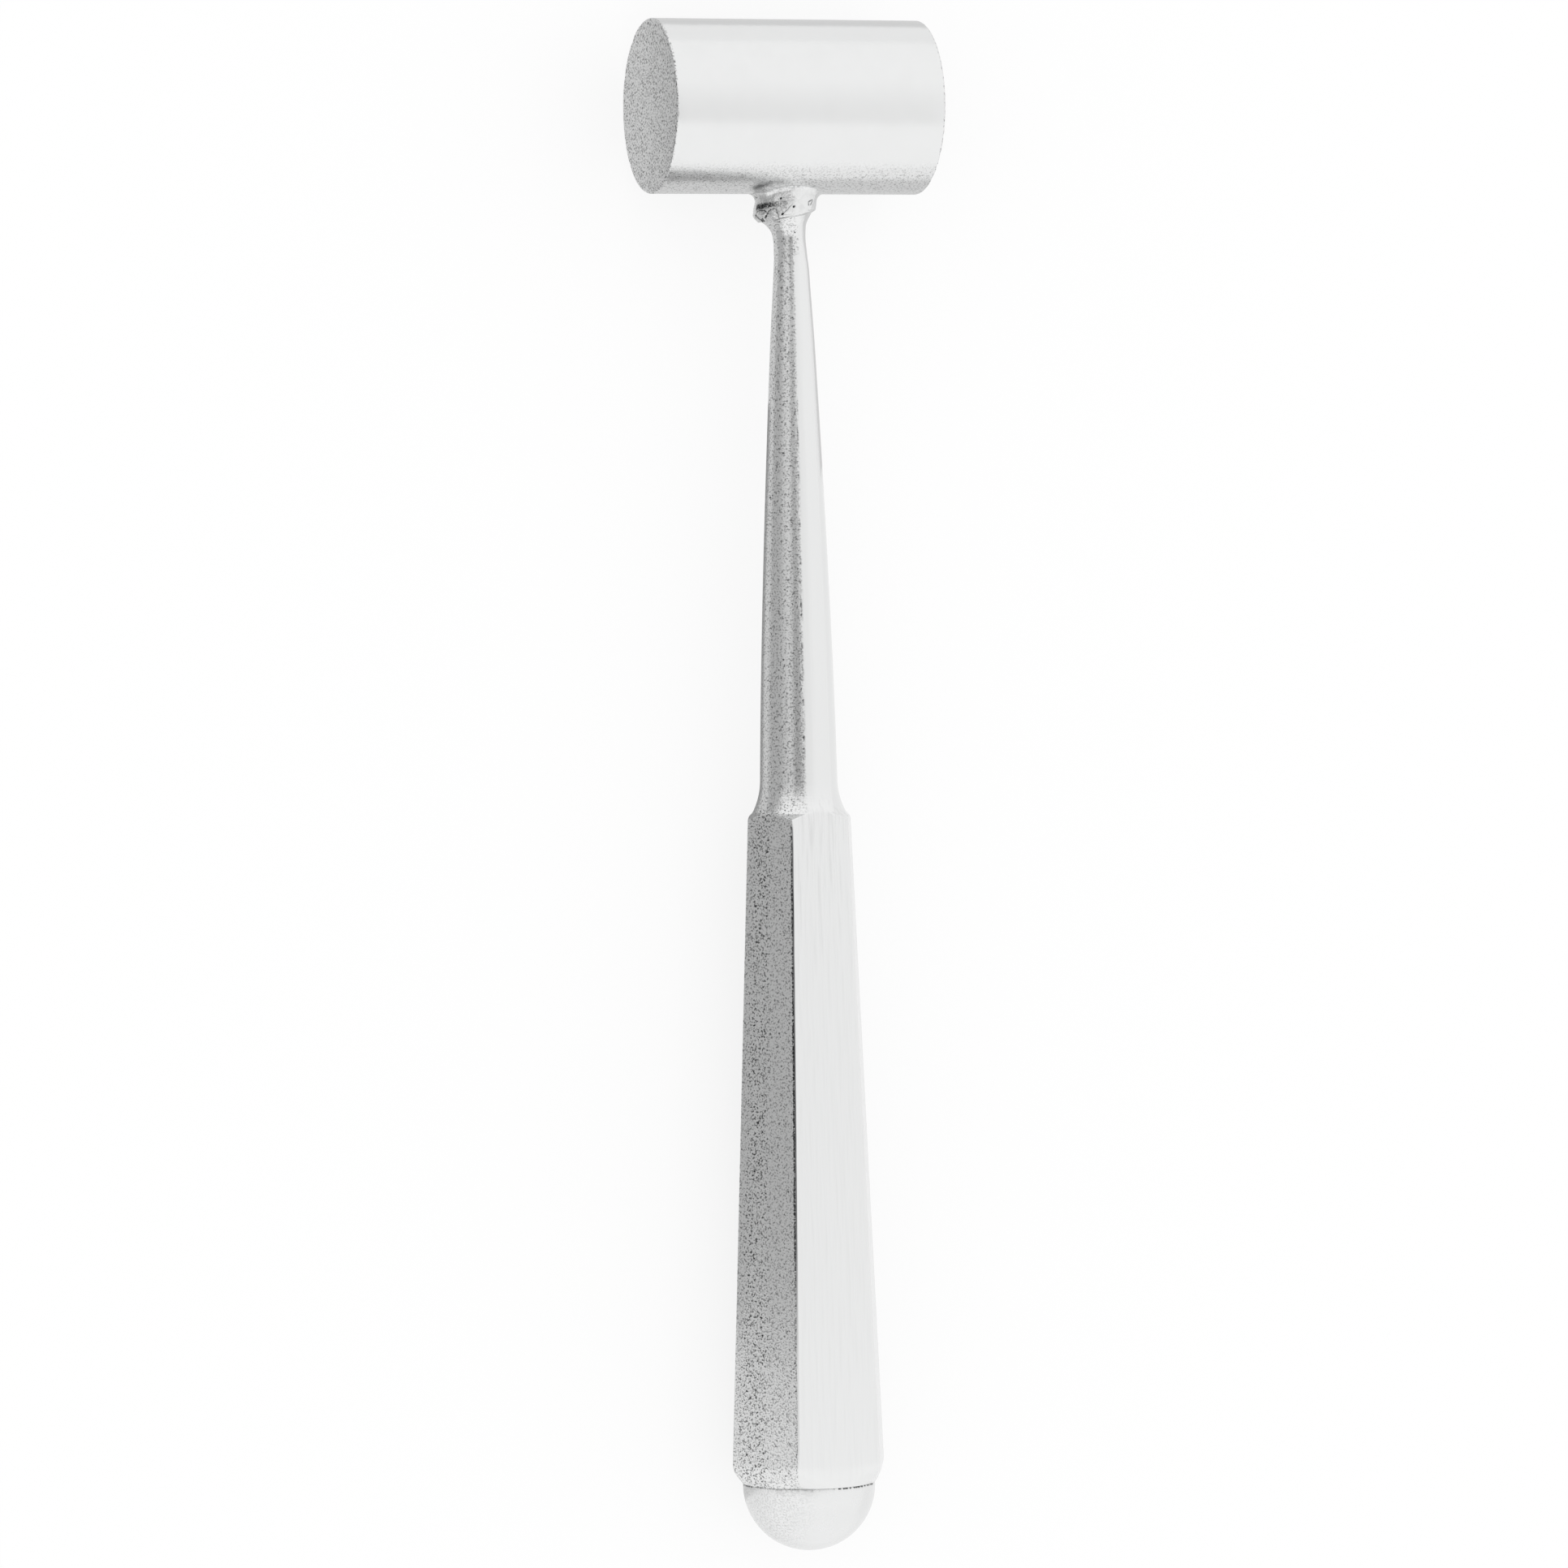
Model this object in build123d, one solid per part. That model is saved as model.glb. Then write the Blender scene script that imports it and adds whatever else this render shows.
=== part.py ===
from build123d import *
from math import asin, atan2, cos, degrees, hypot, radians, sin, sqrt, tan
import os

# Surgical bone mallet, all stainless steel, in millimetres.
# Every piece is first made in a bench frame: the head lies along X with its middle at the origin,
# and the handle runs along +Z, so a distance along the handle is a plain Z value.
# The last step lays the finished mallet down on Z = 0 as it comes to rest on a table.

# Striking head, a short piece of round bar
head_diameter = 21.6
head_length = 34.9
head_edge = 0.25

# Where the handle and the weld stand along the head, measured from its middle
handle_offset = 0.7
weld_offset = -0.2

# Tang that plugs the handle into the head
tang_diameter = 4.0
tang_depth = 8.0
tang_clearance = 0.02

# Weld bead between the head and the handle, which leans one way while its lower line slopes the other
weld_diameter = 7.6
weld_height = 2.7
weld_lean = 9.0
weld_slope = 7.0
weld_toe = 1.1
weld_rim = 0.3

# Flared top of the handle, which leans towards the head's left end
neck_diameter = 4.3
neck_reach = 6.4
flare_radius = 5.6
flare_lean = 0.9
flare_steps = 5

# Round shaft: its length, and its diameters at one third, two thirds and the end
shaft_length = 66.1
shaft_third_diameter = 6.5
shaft_two_thirds_diameter = 8.37
shaft_end_diameter = 9.62

# Grip with six flats, hand ground, so the ridges are a little unevenly spaced. The rounding of the
# butt runs along a wide arc that stops at the seam, and the ridges run out within it. The arcs of the
# shoulder and the butt are followed in short steps, which keeps the ground surfaces light.
shoulder_radius = 7.0
shoulder_turn = 60.0
grip_length = 87.55
grip_top_across = 13.42
grip_butt_across = 20.54
ridge_angles = (-87.1, -27.0, 40.9)
ridge_radius = 0.3
butt_radius = 5.84
butt_round = 4.4
shoulder_steps = 8
butt_steps = 5
ridge_end = 3.2

# Blind hole that lightens the grip, and the seat of the end cap in its mouth
hollow_diameter = 9.0
hollow_depth = 70.0
drill_point = 118.0
spigot_diameter = 12.0
spigot_length = 4.0
spigot_clearance = 0.02

# Domed end cap
cap_diameter = 16.44
cap_land = 0.2
seam_break = 0.12

# Places along the handle, measured from the head's axis
head_radius = head_diameter / 2
weld_line = head_radius + weld_height
tang_top = head_radius - tang_depth
neck_end = head_radius + neck_reach
shoulder_start = neck_end + shaft_length
seam = shoulder_start + grip_length
cap_radius = cap_diameter / 2
half_turn = 180.0


def at_handle(along):
    """A place on the handle's axis."""
    return Pos(handle_offset, 0, along)


def at_weld_line(turn):
    """The middle of the weld's lower end, turned in the plane of the head and the handle."""
    return Pos(weld_offset, 0, weld_line) * Rot(0, turn, 0)


def round_bar(diameter, start, end):
    """A plain cylinder on the handle's axis, from one distance to another."""
    upward = (Align.CENTER, Align.CENTER, Align.MIN)
    return at_handle(start) * Cylinder(diameter / 2, end - start, align=upward)


def turned(outline):
    """Turn a closed outline of radius and distance about the handle's axis."""
    return at_handle(0) * revolve(Plane.XZ * make_face(outline), Axis.Z)


def plain_head():
    """The bar of the head, before the socket is drilled."""
    return Cylinder(head_radius, head_length, rotation=(0, 90, 0))


def make_head():
    """Round bar with broken edges and a blind socket for the handle's tang."""
    bar = plain_head()
    bar = chamfer(bar.edges().filter_by(GeomType.CIRCLE), head_edge)
    socket = round_bar(tang_diameter + 2 * tang_clearance, tang_top - tang_clearance, 2 * head_radius)
    return bar - socket


def above_weld_line():
    """A block that holds all that lies between the head's axis and the sloping weld line."""
    reach = 4 * weld_diameter
    block = Box(reach, reach, reach, align=(Align.CENTER, Align.CENTER, Align.MAX))
    return at_weld_line(weld_slope) * block


def flare_section(rise):
    """One round section of the flare; its radius follows an arc, and its middle moves sideways."""
    growth = flare_radius - sqrt(flare_radius**2 - rise**2)
    place = Pos(-flare_lean * growth, 0, -rise)
    return at_handle(neck_end) * place * Circle(neck_diameter / 2 + growth)


def make_flare():
    """The handle's flared top, which ends at the sloping weld line."""
    slope_rise = weld_diameter / 2 * tan(radians(weld_slope))
    full_rise = neck_end - weld_line + slope_rise + weld_rim
    sections = [flare_section(full_rise * step / flare_steps) for step in range(flare_steps + 1)]
    return loft(sections) - above_weld_line()


def make_tang():
    """The tang, from its top in the head down through the weld into the flare."""
    return round_bar(tang_diameter, tang_top, neck_end)


def make_shaft():
    """Slender round shaft, thicker towards the grip, with a gently bowed side."""
    neck = (neck_diameter / 2, neck_end)
    end = (shaft_end_diameter / 2, shoulder_start)
    third = (shaft_third_diameter / 2, neck_end + shaft_length / 3)
    two_thirds = (shaft_two_thirds_diameter / 2, neck_end + shaft_length * 2 / 3)
    side = Spline(neck, third, two_thirds, end)
    closing = Polyline(end, (0, shoulder_start), (0, neck_end), neck)
    return turned([side, closing])


def in_steps(arc, steps):
    """Points evenly spaced along an arc."""
    return [arc @ (step / steps) for step in range(steps + 1)]


def make_blank():
    """The turned blank of the grip: a hollow shoulder, a cone and a rounded butt."""
    shaft_radius = shaft_end_diameter / 2
    middle = (shaft_radius + shoulder_radius, shoulder_start)
    shoulder = CenterArc(middle, shoulder_radius, half_turn, -shoulder_turn)
    butt_turn = asin(butt_round / butt_radius)
    butt_middle = (cap_radius - butt_radius * cos(butt_turn), seam - butt_round)
    butt = CenterArc(butt_middle, butt_radius, 0, degrees(butt_turn))
    side = in_steps(shoulder, shoulder_steps) + in_steps(butt, butt_steps)
    return turned(Polyline((0, shoulder_start), *side, (0, seam), close=True))


def ridge_corners(across, along):
    """The six corners of the grip's section at one distance along the handle, each ridge once."""
    angles = [radians(angle) for angle in ridge_angles]
    angles += [angle + radians(half_turn) for angle in angles]
    radius = across / 2
    return [Vector(handle_offset + radius * sin(angle), radius * cos(angle), along) for angle in angles]


def make_flats():
    """The tapered six-sided body that the flats are ground to, with its ridges a little rounded."""
    top = ridge_corners(grip_top_across, shoulder_start)
    butt = ridge_corners(grip_butt_across, seam)
    outlines = [top, butt]
    for side in range(len(top)):
        outlines.append([top[side - 1], top[side], butt[side], butt[side - 1]])
    faces = [Face(Wire.make_polygon(outline)) for outline in outlines]
    body = Solid(Shell(faces))
    ridges = body.edges().filter_by(lambda edge: edge.length > grip_length / 2)
    return fillet(ridges, ridge_radius)


def make_hollow():
    """The drilled hole in the grip, with its conical point, and the seat for the cap's spigot."""
    radius = hollow_diameter / 2
    point = radius / tan(radians(drill_point / 2))
    deep_end = seam - hollow_depth
    seat_radius = spigot_diameter / 2 + spigot_clearance
    seat_end = seam - spigot_length - spigot_clearance
    outline = Polyline(
        (0, deep_end - point),
        (radius, deep_end),
        (radius, seat_end),
        (seat_radius, seat_end),
        (seat_radius, seam),
        (0, seam),
        close=True,
    )
    return turned(outline)


def make_handle():
    """Tang, flare, shaft and hollow grip, forged and ground from one piece."""
    grip = (make_blank() & make_flats()) - make_hollow()
    return make_tang() + make_flare() + make_shaft() + grip


def is_toe(edge):
    """True for the curved line where the weld's side meets the head."""
    middle = edge @ 0.5
    on_head = abs(hypot(middle.Y, middle.Z) - head_radius) < weld_rim / 2
    near_weld = middle.Z > 0 and abs(middle.X - weld_offset) < weld_diameter
    return on_head and near_weld


def make_weld():
    """The weld bead: a short leaning post with a hollow toe on the head and a broken lower rim."""
    post = at_weld_line(-weld_lean) * Cylinder(weld_diameter / 2, 2 * weld_line) & above_weld_line()
    rim = post.edges().sort_by(Axis.Z)[-1]
    bar = plain_head()
    joined = bar + chamfer(rim, weld_rim)
    bead = fillet(joined.edges().filter_by(is_toe), weld_toe) - bar
    return bead - round_bar(tang_diameter, tang_top, 2 * weld_line)


def make_cap():
    """Domed cap with a short land at the seam and a spigot that fills the mouth of the grip."""
    dome_start = seam + cap_land
    edge = (cap_radius, dome_start)
    dome = CenterArc((0, dome_start), cap_radius, 0, 90)
    spigot_radius = spigot_diameter / 2
    closing = Polyline(
        dome @ 1,
        (0, seam - spigot_length),
        (spigot_radius, seam - spigot_length),
        (spigot_radius, seam),
        (cap_radius - seam_break, seam),
        edge,
    )
    return turned([dome, closing])


def resting_tilt():
    """Angle about the head's axis at which the head and the grip's lowest ridge share one table."""
    contact = seam - ridge_end
    taper = (grip_butt_across - grip_top_across) / 2 / grip_length
    ridge = grip_butt_across / 2 - taper * ridge_end
    lowest = max(abs(cos(radians(angle))) for angle in ridge_angles) * ridge
    return degrees(asin(head_radius / hypot(contact, lowest)) - atan2(lowest, contact))


def lay_down(pieces):
    """Lay the mallet on Z = 0 and bring the middle of its outline to the origin."""
    tilt = Rot(90 + resting_tilt(), 0, 0)
    laid = {name: tilt * piece for name, piece in pieces.items()}
    boxes = [piece.bounding_box() for piece in laid.values()]
    low = [min(tuple(box.min)[axis] for box in boxes) for axis in range(3)]
    high = [max(tuple(box.max)[axis] for box in boxes) for axis in range(3)]
    shift = Pos(-(low[0] + high[0]) / 2, -(low[1] + high[1]) / 2, -low[2])
    return {name: shift * piece for name, piece in laid.items()}


def main():
    """Make the pieces, lay them down and write one file for each."""
    pieces = {
        "head": make_head(),
        "neck_weld": make_weld(),
        "handle": make_handle(),
        "end_cap": make_cap(),
    }
    os.makedirs("parts", exist_ok=True)
    for name, piece in lay_down(pieces).items():
        box = piece.bounding_box()
        print(name, "solids", len(piece.solids()), "volume", round(piece.volume, 1), box)
        export_step(piece, f"parts/{name}.step")


main()
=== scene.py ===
# %% [markdown]
# # A surgical mallet in ground stainless steel
#
# The mallet is one metal all over, so its look lives in three things: the small unevenness that hand
# grinding leaves, how fine the grain of each part is, and what the studio lets the metal reflect. The
# CAD model gives the exact form. This lesson builds each piece again as a finer skin, with worn edges,
# pits, softened ridges and an open seam that are too small for the CAD model, and then lights it.

# %% Load the CAD frame
from math import cos, exp, hypot, inf, log, pi, radians, sin, sqrt, tan

import bpy
from mathutils import Matrix, Vector, noise


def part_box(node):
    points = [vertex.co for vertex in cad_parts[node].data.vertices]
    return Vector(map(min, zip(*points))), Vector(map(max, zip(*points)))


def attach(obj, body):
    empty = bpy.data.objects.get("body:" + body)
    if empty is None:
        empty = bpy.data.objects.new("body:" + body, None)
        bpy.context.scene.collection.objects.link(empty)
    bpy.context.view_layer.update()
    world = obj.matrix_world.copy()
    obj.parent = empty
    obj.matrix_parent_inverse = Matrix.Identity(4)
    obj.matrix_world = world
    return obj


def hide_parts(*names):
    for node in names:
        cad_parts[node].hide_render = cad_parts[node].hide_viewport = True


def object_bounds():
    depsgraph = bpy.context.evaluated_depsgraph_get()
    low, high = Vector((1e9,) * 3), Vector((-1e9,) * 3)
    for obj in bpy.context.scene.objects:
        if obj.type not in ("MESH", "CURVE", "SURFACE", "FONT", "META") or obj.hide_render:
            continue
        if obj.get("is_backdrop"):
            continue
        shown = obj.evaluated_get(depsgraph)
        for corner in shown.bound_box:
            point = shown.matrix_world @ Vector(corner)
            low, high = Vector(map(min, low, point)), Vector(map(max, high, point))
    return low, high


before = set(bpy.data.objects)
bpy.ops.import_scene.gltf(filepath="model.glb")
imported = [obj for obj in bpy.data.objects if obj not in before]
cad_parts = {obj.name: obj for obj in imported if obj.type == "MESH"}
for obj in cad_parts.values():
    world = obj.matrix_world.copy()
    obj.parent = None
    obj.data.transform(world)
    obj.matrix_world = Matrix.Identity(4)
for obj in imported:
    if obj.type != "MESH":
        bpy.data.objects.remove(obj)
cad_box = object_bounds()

millimetre = 0.001
print("CAD box in mm:", [[round(1000 * side, 2) for side in corner] for corner in cad_box])

# %% [markdown]
# ## Where things are
#
# It is easier to build in the maker's own directions: X along the head, Z down the handle from the
# head's axis, Y towards the side that faces up. The finished mallet lies on its back, a touch nose up,
# so one matrix takes a bench point to its place on the table. The head's box gives its axis.

# %% From the bench to the table
resting_tilt = radians(0.6035)
head_low, head_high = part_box("head")
head_axis = (head_low + head_high) / 2
head_radius = (head_high.y - head_low.y) / 2 / millimetre
head_half = (head_high.x - head_low.x) / 2 / millimetre
laid_down = (
    Matrix.Translation(head_axis)
    @ Matrix.Rotation(pi / 2 + resting_tilt, 4, "X")
    @ Matrix.Scale(millimetre, 4)
)
print("head radius", round(head_radius, 2), "mm, half length", round(head_half, 2), "mm")

# %% [markdown]
# ## A skin from rings
#
# Every piece is round or nearly so, so each is a stack of closed rings with the same number of points.
# Quads join one ring to the next, and a fan closes each end. The rings can hold any unevenness, because
# every point is worked out on its own. Two numbers are kept with each point for the materials: its soot and
# shade, which is how much dark scale and painted shade sits there, and its grain, which is how open the
# ground surface is.

# %% Build a mesh from rings
def skin(name, node, rings, soot=None, grain=None):
    """A closed mesh from rings of bench points, in millimetres, that stands for one CAD node."""
    around = len(rings[0])
    points = [laid_down @ Vector(point) for ring in rings for point in ring]
    faces = []
    for row in range(len(rings) - 1):
        for step in range(around):
            ahead = (step + 1) % around
            low, high = row * around, (row + 1) * around
            faces.append((low + step, low + ahead, high + ahead, high + step))
    for row in (0, len(rings) - 1):
        middle = sum((Vector(point) for point in rings[row]), Vector()) / around
        points.append(laid_down @ middle)
        ring = range(row * around, (row + 1) * around)
        for step in range(around):
            pair = (ring[step], ring[(step + 1) % around])
            faces.append((len(points) - 1, *(reversed(pair) if row == 0 else pair)))
    mesh = bpy.data.meshes.new(name)
    mesh.from_pydata(points, [], faces)
    mesh.validate()
    mesh.update()
    mesh.shade_smooth()
    for label, rows in (("soot", soot), ("grain", grain)):
        values = [value for row in rows or [] for value in row]
        values += [0.0] * (len(points) - len(values))
        mesh.attributes.new(label, "FLOAT", "POINT").data.foreach_set("value", values)
    piece = bpy.data.objects.new(name, mesh)
    bpy.context.scene.collection.objects.link(piece)
    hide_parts(node)
    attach(piece, "root")
    print(name, "has", len(faces), "faces")
    return piece


def smooth(value, low, high):
    """0 below low, 1 above high, and an easy curve in between."""
    share = min(1.0, max(0.0, (value - low) / (high - low)))
    return share * share * (3 - 2 * share)


def rough(point, size, seed=0.0):
    """Seeded noise from -1 to 1 whose bumps are about size millimetres across."""
    return noise.noise(Vector(point) / size + Vector((seed, 2 * seed, -seed)))


def spread(start, end, count):
    """Evenly spaced values from start up to, but not including, end."""
    return [start + (end - start) * step / count for step in range(count)]


# %% [markdown]
# ## The head
#
# The head is a short piece of bar. Its two faces are ground square, which leaves a sharp corner, and
# the corner is broken by hand with a stone. So the break is never the same width all the way round,
# and blows against chisels have nicked it. The rings run from the middle of one face, over its corner,
# along the barrel and down the other face. The corner's radius comes from slow noise, the nicks from
# quick noise.

# %% Head
head_points = 480
corner_steps = 5
corner_radius = 0.24


def corner(turn, side):
    """The radius of the broken edge at one turn about the head's axis, on one side."""
    place = (8 * cos(turn), 8 * sin(turn), 20 * side)
    wear = 0.06 * rough(place, 2.5, 3) + 0.05 * rough(place, 0.5, 5)
    nick = 0.13 * smooth(rough(place, 0.9, 9), 0.3, 0.55)
    return corner_radius + wear + nick


def head_ring(along, inset, side=0, step=0):
    """One ring of the head: a plain one, or one of the steps over a broken edge."""
    ring = []
    for index in range(head_points):
        turn = 2 * pi * index / head_points
        radius, place = head_radius - inset, along
        if side:
            break_radius = corner(turn, side)
            swing = pi / 2 * step / corner_steps
            radius = head_radius - break_radius * (1 - sin(swing))
            place = side * (head_half - break_radius * (1 - cos(swing)))
        ring.append((place, radius * cos(turn), radius * sin(turn)))
    return ring


face_insets = [7.5, 4.5, 2.5, 1.4, 0.9, 0.6]
left_face = [head_ring(-head_half, inset) for inset in face_insets]
left_edge = [head_ring(0, 0, -1, step) for step in range(corner_steps + 1)]
barrel = [head_ring(head_half * share / 10, 0) for share in range(-9, 10)]
right_edge = [head_ring(0, 0, 1, corner_steps - step) for step in range(corner_steps + 1)]
right_face = [head_ring(head_half, inset) for inset in reversed(face_insets)]
head = skin("striking_head", "head", left_face + left_edge + barrel + right_edge + right_face)

# %% [markdown]
# ## The weld bead
#
# The handle is plugged into the head and welded round. The bead was dressed with a file only roughly:
# it stands as a short post that leans to the right towards the head, while its lower line slopes down
# to the left. It has a hollow toe on the head, lumps, gas pits, a cold lap on its left and a raised
# lip along its lower line. Rings run from the lower line up to the head. Each point starts on a plain
# post and is then pushed in or out.

# %% The post of the weld
weld_radius, weld_height = 3.8, 2.7
weld_middle = Vector((-0.2, 0, head_radius + weld_height))
weld_lean = radians(-9.0)
weld_slope = radians(7.0)
rim_break = 0.3
toe_reach = 0.95
weld_points = 420
weld_up = Vector((sin(weld_lean), 0, cos(weld_lean)))
weld_right = Vector((cos(weld_lean), 0, -sin(weld_lean)))
weld_front = Vector((0, 1, 0))
lower_plane = Vector((sin(weld_slope), 0, cos(weld_slope)))


def post_point(turn, rise, radius):
    """A point on the post: turn is from the front towards the right, rise is from the lower line."""
    outward = weld_right * sin(turn) + weld_front * cos(turn)
    start = weld_radius * outward.dot(lower_plane) / weld_up.dot(lower_plane)
    return weld_middle - weld_up * (rise + start) + outward * radius


def rise_to_head(turn, radius):
    """How far above the lower line the post meets the head's barrel, found by halving."""
    low, high = 0.0, 8.0
    for _ in range(30):
        rise = (low + high) / 2
        point = post_point(turn, rise, radius)
        if hypot(point.y, point.z) > head_radius:
            low = rise
        else:
            high = rise
    return high


# %% [markdown]
# Each flaw of the bead is a small rule about one place on it: how far that place is from the flaw's
# middle gives how deep or how dark it is. Pits are round dents and cracks are chains of short lines, and
# both are darkened with painted shade. All are placed by a turn in degrees and a rise in millimetres.

# %% Flaws of the weld
pits = [(-28.3, 2.27, 0.19), (-1.5, 0.99, 0.2), (-21.2, 0.24, 0.2), (128, 1.1, 0.2), (205, 0.6, 0.15)]
cracks = [
    ([(-21.2, 0.24), (-17.4, 0.45), (-12.8, 0.74), (-8.2, 1.14)], 0.7),
    ([(-50.6, 0.79), (-44.5, 1.06), (-35.9, 1.08), (-33, 0.7), (-28, 0.05)], 0.75),
    ([(-88, 0.3), (-83.2, 0.64), (-78, 0.95), (-72.3, 1.08), (-58.3, 0.98), (-49.9, 0.6)], 0.8),
    ([(-49.9, 0.6), (-53, 0.3), (-59, 0.1)], 1.0),
    ([(-84, 0.55), (-80.6, 0.3), (-74, 0.0), (-66, 0.05)], 1.0),
    ([(32.2, 0.94), (29.8, 1.36), (40.2, 1.58), (42, 1.44), (37.4, 1.0)], 0.9),
    ([(-23, 2.25), (-17, 2.2), (-10.2, 2.17)], 0.5),
    ([(-7.8, 2.27), (-4.2, 2.15)], 0.5),
    ([(44, 2.85), (56, 2.75), (62, 2.6)], 0.8),
    ([(-94, 2.6), (-88, 2.85), (-83, 2.7)], 0.8),
    ([(96, 1.6), (104, 1.25), (120, 1.3)], 0.6),
    ([(160, 0.9), (178, 1.4)], 0.5),
    ([(215, 1.7), (240, 1.5)], 0.5),
]


def on_post(place):
    """A flaw's place as millimetres round the post and millimetres towards the head."""
    return Vector((radians(place[0]) * weld_radius, place[1]))


def to_chain(spot, places):
    """The shortest distance from a spot to a chain of lines between places."""
    nearest = inf
    chain = [on_post(place) for place in places]
    for start, end in zip(chain, chain[1:]):
        along = end - start
        share = max(0.0, min(1.0, (spot - start).dot(along) / along.length_squared))
        nearest = min(nearest, (spot - start - along * share).length)
    return nearest


def flaws(turn, rise):
    """How far the bead's skin moves outward in millimetres at one place, and its soot and painted shade."""
    around = (turn + pi / 2 + 0.3) % (2 * pi) - pi / 2 - 0.3
    spot = Vector((around * weld_radius, rise))
    place = (weld_radius * sin(turn), weld_radius * cos(turn), rise)
    fade = smooth(rise, 0.0, 0.35)
    push = fade * (0.10 * rough(place, 1.5, 4) + 0.05 * rough(place, 0.6, 6) + 0.02 * rough(place, 0.2, 7))
    grain = 0.5 + 0.5 * rough(place, 0.14, 8)
    soot = 0.0
    # Painted shade: each pit is darkened where it is dented in.
    for *middle, size in pits:
        near = 1 - smooth((spot - on_post(middle)).length, 0.4 * size, size)
        push -= 0.16 * near
        soot = max(soot, near)
    # Painted shade: each crack is darkened where it is dented in.
    for places, depth in cracks:
        wander = 0.05 * rough(place, 0.25, 12)
        near = 1 - smooth(to_chain(spot, places) + wander, 0.02, 0.12)
        push -= 0.08 * near * depth
        soot = max(soot, near * depth * (0.6 + 0.4 * grain))
    lap = 1 - smooth(hypot((around - radians(-62)) * weld_radius / 1.1, (rise - 0.55) / 0.45), 0.3, 1.0)
    push += 0.12 * lap
    dark_end = 1 - smooth(around, radians(-62), radians(-12))
    smear = 1 - smooth(to_chain(spot, [(-82, 1.5), (-56, 1.62), (-20, 1.55)]), 0.16, 0.55)
    smear *= smooth(grain + 0.3 * dark_end, 0.3, 0.75) * (0.38 + 0.5 * dark_end)
    soot = max(soot, smear)
    lip = 1 - smooth(abs(rise - 0.12), 0.03, 0.2)
    push += 0.07 * lip * (0.6 + 0.4 * rough(place, 0.8, 11))
    return push, soot


def grain_of_bead(turn, rise):
    """The bead is bright and smooth on its right and more open on its left, past the long crack."""
    around = (turn + pi / 2) % (2 * pi) - pi / 2
    border = radians(-8.2 - 11.5 * (1.14 - rise))
    left_side = 1 - smooth(around, border - 0.08, border + 0.08) * smooth(rise, -0.4, 0.2)
    bright_band = smooth(rise, 1.8, 2.15) * (1 - smooth(rise, 3.0, 3.5))
    bright_band *= smooth(around, radians(-75), radians(-55))
    return left_side * (1 - 0.9 * bright_band)


# %% [markdown]
# The lower left corner of the bead sags a little over the handle's flare, where the metal ran while it
# was hot, and its front lip hangs lower still. The lower right corner was filed to a slant, and the toe
# reaches further along the head on that side. All are slow changes with the turn.

# %% Rings of the weld
rows_up = 64
sag_depth, sag_break = 0.22, 0.5
lip_drop = 0.3
right_slant = 0.35
weld_rings, weld_soot_and_shade, weld_grain = [], [], []
turns = [2 * pi * index / weld_points for index in range(weld_points)]
reaches = [toe_reach * (1 + 0.25 * max(0.0, sin(turn)) ** 3) for turn in turns]
tops = [rise_to_head(turn, weld_radius + reach) for turn, reach in zip(turns, reaches)]
for row in range(rows_up + 1):
    ring, marks, grains = [], [], []
    for turn, top, reach in zip(turns, tops, reaches):
        around = (turn + pi) % (2 * pi) - pi
        left_side, right_side = smooth(-sin(turn), 0.3, 0.95), smooth(sin(turn), 0.2, 0.9)
        front = smooth(around, radians(-55), radians(-32))
        front *= 1 - smooth(around, radians(100), radians(140))
        sag = sag_depth * left_side + lip_drop * front
        rise = (top + sag) * row / rows_up - sag
        left = max(0.0, top - rise) / reach
        toe = reach * (1 - sqrt(1 - (1 - left) ** 2)) if left < 1 else 0.0
        edge = rim_break + sag_break * left_side + right_slant * right_side
        radius = weld_radius - edge * max(0.0, 1 - (rise + sag) / edge) ** 1.5 + toe
        push, soot = flaws(turn, max(0.0, rise))
        # Painted shade: the lower line is darkened under the hanging front lip.
        under_lip = smooth(around, radians(-42), radians(-34))
        under_lip *= 1 - smooth(around, radians(-20), radians(0))
        soot = max(soot, 0.75 * under_lip * (1 - smooth(rise + sag, 0.03, 0.12)))
        calm = smooth(top - rise, 0.0, 0.6)
        ring.append(post_point(turn, rise, radius + push * calm))
        marks.append(soot * calm)
        grains.append(grain_of_bead(turn, rise))
    weld_rings.append(ring)
    weld_soot_and_shade.append(marks)
    weld_grain.append(grains)
weld = skin("weld_bead", "neck_weld", weld_rings, weld_soot_and_shade, weld_grain)

# %% [markdown]
# ## The handle
#
# The handle is turned first: a flared top, a slender shaft with a gently bowed side, a shoulder whose
# wide hollow ends in a short steep step, and a cone. Then six flats are ground on its cone. So the
# radius at any place is the smaller of two: that of the turned blank and that of the six-sided body.
# Taking the smaller one with a soft rule instead of a hard one rounds every ridge by a hair, as
# polishing does. At the butt the flats and ridges are dressed in by hand until they meet the round cap.

# %% The turned blank
handle_offset = 0.7
neck_radius, neck_end = 2.15, 17.2
flare_radius, flare_lean = 5.6, 0.9
shoulder_start, shoulder_radius, shoulder_length = 83.3, 9.0, 7.0 * sin(radians(60))
shoulder_step, step_start, step_end = 0.9, 4.0, 5.6
seam = 170.85
butt_round, butt_ease = 2.8, 2.0
cap_low, cap_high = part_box("end_cap")
cap_radius = (cap_high.x - cap_low.x) / 2 / millimetre
shaft_knots = [(17.2, 2.15), (39.233, 3.25), (61.267, 4.185), (83.3, 4.81)]
shoulder_end = shoulder_start + shoulder_length
cone_end = 10.4


def shaft_side(along):
    """The radius of the shaft: the one smooth curve of third degree through its four knots."""
    total = 0.0
    for place, radius in shaft_knots:
        weight = 1.0
        for other, _ in shaft_knots:
            if other != place:
                weight *= (along - other) / (place - other)
        total += weight * radius
    return total


def flare_growth(along):
    """How much wider than the neck the flare is at one place above the neck."""
    return flare_radius - sqrt(flare_radius**2 - (neck_end - along) ** 2)


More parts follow.
